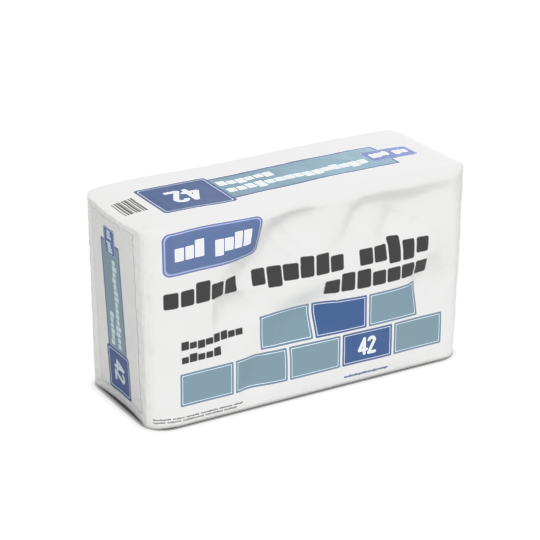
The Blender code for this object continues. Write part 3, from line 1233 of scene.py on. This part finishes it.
@dataclass
class Studio:
    """The pale floor, the soft lights and the camera of the reference view."""

    object_height: float
    azimuth: float = -30.05
    elevation: float = 22.25
    distance_heights: float = 9.103
    target: tuple[float, float, float] = (-0.0403, 0.0, 0.521)
    focal_pixels: float = 1902.0
    frame_pixels: float = 540.0
    sensor: float = 36.0
    lamps: tuple[Lamp, ...] = (Lamp("key", -20.0, 52.0, 66.0), Lamp("rear", 135.0, 18.0, 40.0, 1.6))
    room: float = 0.97
    tones: tuple[Pair, ...] = (
        (0.0, 0.0), (0.10, 0.085), (0.30, 0.25), (0.50, 0.38), (0.65, 0.525), (0.75, 0.64),
        (0.83, 0.765), (0.885, 0.838), (1.05, 0.885), (1.30, 0.93), (1.60, 1.0),
    )
    floor_albedo: float = 0.60
    painted_shadow_albedo: float = 0.06
    painted_shadow_reach: float = 0.012
    floor_glow: float = 0.36
    seen_glow: float = 1.3
    front_glow: float = 0.37
    footprint: Pair = (0.2135, 0.064)
    footprint_radius: float = 0.032
    glow_rise: float = 0.030

    def direction(self, azimuth: float, elevation: float) -> Vector:
        """The way from the sack to something that stands at an azimuth and an elevation."""
        turn, rise = math.radians(azimuth), math.radians(elevation)
        return Vector((math.sin(turn) * math.cos(rise), -math.cos(turn) * math.cos(rise), math.sin(rise)))

    def camera(self) -> None:
        """Places the camera where the reference view was taken from."""
        aim = Vector(self.target) * self.object_height
        back = self.direction(self.azimuth, self.elevation)
        data = bpy.data.cameras.new("camera")
        data.sensor_width = self.sensor
        data.lens = self.focal_pixels / self.frame_pixels * self.sensor
        camera = bpy.data.objects.new("camera", data)
        bpy.context.scene.collection.objects.link(camera)
        camera.location = aim + back * self.distance_heights * self.object_height
        camera.rotation_euler = back.to_track_quat("Z", "Y").to_euler()
        bpy.context.scene.camera = camera

    def floor(self) -> None:
        """Lays a wide floor under the sack, which glows white away from the rounded footprint, with a painted contact
        shadow round the footprint and a painted glow in front of the sack that lights its lower front.
        """
        surface = bmesh.new()
        bmesh.ops.create_grid(surface, x_segments=2, y_segments=2, size=12.0)
        mesh = bpy.data.meshes.new("floor")
        surface.to_mesh(mesh)
        surface.free()
        floor = bpy.data.objects.new("floor", mesh)
        bpy.context.scene.collection.objects.link(floor)
        bench = Bench("floor")
        place = bench.node("ShaderNodeTexCoord", {}, {}).outputs["Object"]
        parts = bench.node("ShaderNodeSeparateXYZ", {}, {0: place})
        off_x = (bench.wire(parts, 0).absolute() - self.footprint[0]).above_zero()
        off_y = (bench.wire(parts, 1).absolute() - self.footprint[1]).above_zero()
        away = (off_x * off_x + off_y * off_y) ** 0.5 - self.footprint_radius
        near = (away / self.glow_rise).clamped()
        # Painted contact shadow: the floor's colour darkens to near black in a narrow strip round the footprint.
        shadow = (1.0 - away / self.painted_shadow_reach).clamped()
        pale, dark = (self.floor_albedo,) * 3, (self.painted_shadow_albedo,) * 3
        bench.feed(bench.shader.inputs["Base Color"], bench.mix(shadow, pale, dark))
        bench.shader.inputs["Roughness"].default_value = 0.9
        bench.shader.inputs["Specular IOR Level"].default_value = 0.0
        # Painted light: a glowing strip on the floor in front of the sack brightens the sack's lower front.
        forward = (bench.wire(parts, 1) * -6.0).clamped()
        painted_front_light = (away / 0.015).clamped() * (1.0 - away / 0.20).clamped() * forward * self.front_glow
        seen = bench.wire(bench.node("ShaderNodeLightPath", {}, {}), "Is Camera Ray")
        glow = painted_front_light + near * (self.floor_glow + seen * self.seen_glow)
        bench.feed(bench.shader.inputs["Emission Color"], bench.mix(glow, (0.0, 0.0, 0.0), (1.0, 1.0, 1.0)))
        bench.shader.inputs["Emission Strength"].default_value = 1.0
        mesh.materials.append(bench.material)

    def light(self) -> None:
        """Lights the scene: an even room, a key over the camera's shoulder and a weaker lamp behind."""
        scene = bpy.context.scene
        world = bpy.data.worlds.new("room")
        world.use_nodes = True
        background = world.node_tree.nodes["Background"]
        background.inputs["Color"].default_value = (1.0, 1.0, 1.0, 1.0)
        background.inputs["Strength"].default_value = self.room
        scene.world = world
        for lamp in self.lamps:
            self.hang(lamp)
        self.develop(scene.view_settings)

    def develop(self, view: bpy.types.ColorManagedViewSettings) -> None:
        """Gives the picture the tone curve of a product photograph, which holds back the whites."""
        view.view_transform = "Standard"
        view.look = "None"
        view.exposure = 0.0
        view.gamma = 1.0
        view.use_curve_mapping = True
        mapping = view.curve_mapping
        mapping.clip_max_x = self.tones[-1][0]
        points = mapping.curves[3].points
        while len(points) < len(self.tones):
            points.new(0.5, 0.5)
        for point, place in zip(points, self.tones):
            point.location = place
        mapping.update()

    def hang(self, lamp: Lamp) -> None:
        """Places one lamp and turns it to the sack."""
        data = bpy.data.lights.new(lamp.name, "AREA")
        data.shape = "SQUARE"
        data.size = lamp.size
        data.energy = lamp.power
        hung = bpy.data.objects.new(lamp.name, data)
        bpy.context.scene.collection.objects.link(hung)
        towards = self.direction(lamp.azimuth, lamp.elevation)
        hung.location = towards * lamp.distance + Vector((0.0, 0.0, self.object_height / 2))
        hung.rotation_euler = towards.to_track_quat("Z", "Y").to_euler()
        hung.visible_camera = False


def main() -> None:
    """Builds the sack's pieces, then the studio round them."""
    logging.basicConfig(level=logging.INFO, format="%(name)s: %(message)s")
    form = SackForm()
    studio = Studio(object_height=form.height)
    studio.camera()
    studio.floor()
    studio.light()
    relief = Relief(
        form,
        (*FRONT_STROKES, *back_strokes(form)),
        {side: corner_folds(0.077, form.height) for side in (Side.LEFT, Side.RIGHT)},
    )
    add_skin(form, relief)
    add_end_sheets(form, relief)


def add_skin(form: SackForm, relief: Relief) -> None:
    """Builds the skin and gives each of its sides its own printed paper."""
    skin = SackSkin(form, relief).build()
    design = SackPrint(form)
    prints = {Side.FRONT: design.broad, Side.BACK: design.broad, Side.TOP: SackPrint(form, TOP_INKS).top}
    folds = PaperFolds(form)
    creased = {Side.FRONT: folds.broad, Side.BACK: folds.back, Side.TOP: folds.narrow, Side.BASE: folds.narrow}
    for side in Side:
        finish = PaperFinish(f"paper_{side.name.lower()}")
        wear = 2.2 if side is Side.BASE else 1.0
        skin.data.materials.append(finish.make(prints.get(side), creased.get(side, folds.end), wear))
    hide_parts("sack")
    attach(skin, BODY)
    LOG.info("skin: %d faces", len(skin.data.polygons))


def add_end_sheets(form: SackForm, relief: Relief) -> None:
    """Builds the patch over each folded end, and the valve's sleeve on the right one."""
    design = SackPrint(form, END_INKS_PAINTED_SHADE)
    # The patch paper is a little darker than the skin's paper: painted shade for the ends.
    patch_paper = PaperFinish("paper_patch", Inks(paper=srgb(207, 207, 206))).make(design.end, PaperFolds(form).end)
    sheets = []
    for side, node in ((Side.LEFT, "end_patch_left"), (Side.RIGHT, "end_patch_right")):
        low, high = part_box(node)
        sheet = EndSheet(form, relief, f"{node}_paper", side, (low[1], low[2]), (high[1], high[2]), 0.0002, 0.0003)
        sheets.append((sheet, node, patch_paper, "patch_paper"))
    low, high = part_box("valve_sleeve")
    sleeve = EndSheet(
        form, relief, "valve_sleeve_paper", Side.RIGHT, (low[1], low[2]), (high[1], high[2]), 0.0011, 0.0008
    )
    middle = form.depth / 2
    foot, head = form.end_up(Side.RIGHT, np.array((low[2], high[2]))).tolist()
    kraft = KraftFinish().make((middle + low[1], foot), (middle + high[1], head))
    sheets.append((sleeve, "valve_sleeve", kraft, "sleeve_paper"))
    for sheet, node, material, slot in sheets:
        piece = sheet.build()
        piece.data.materials.append(material)
        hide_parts(node)
        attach(piece, BODY)
        LOG.info("%s: %d faces", piece.name, len(piece.data.polygons))


if __name__ == "__main__":
    main()
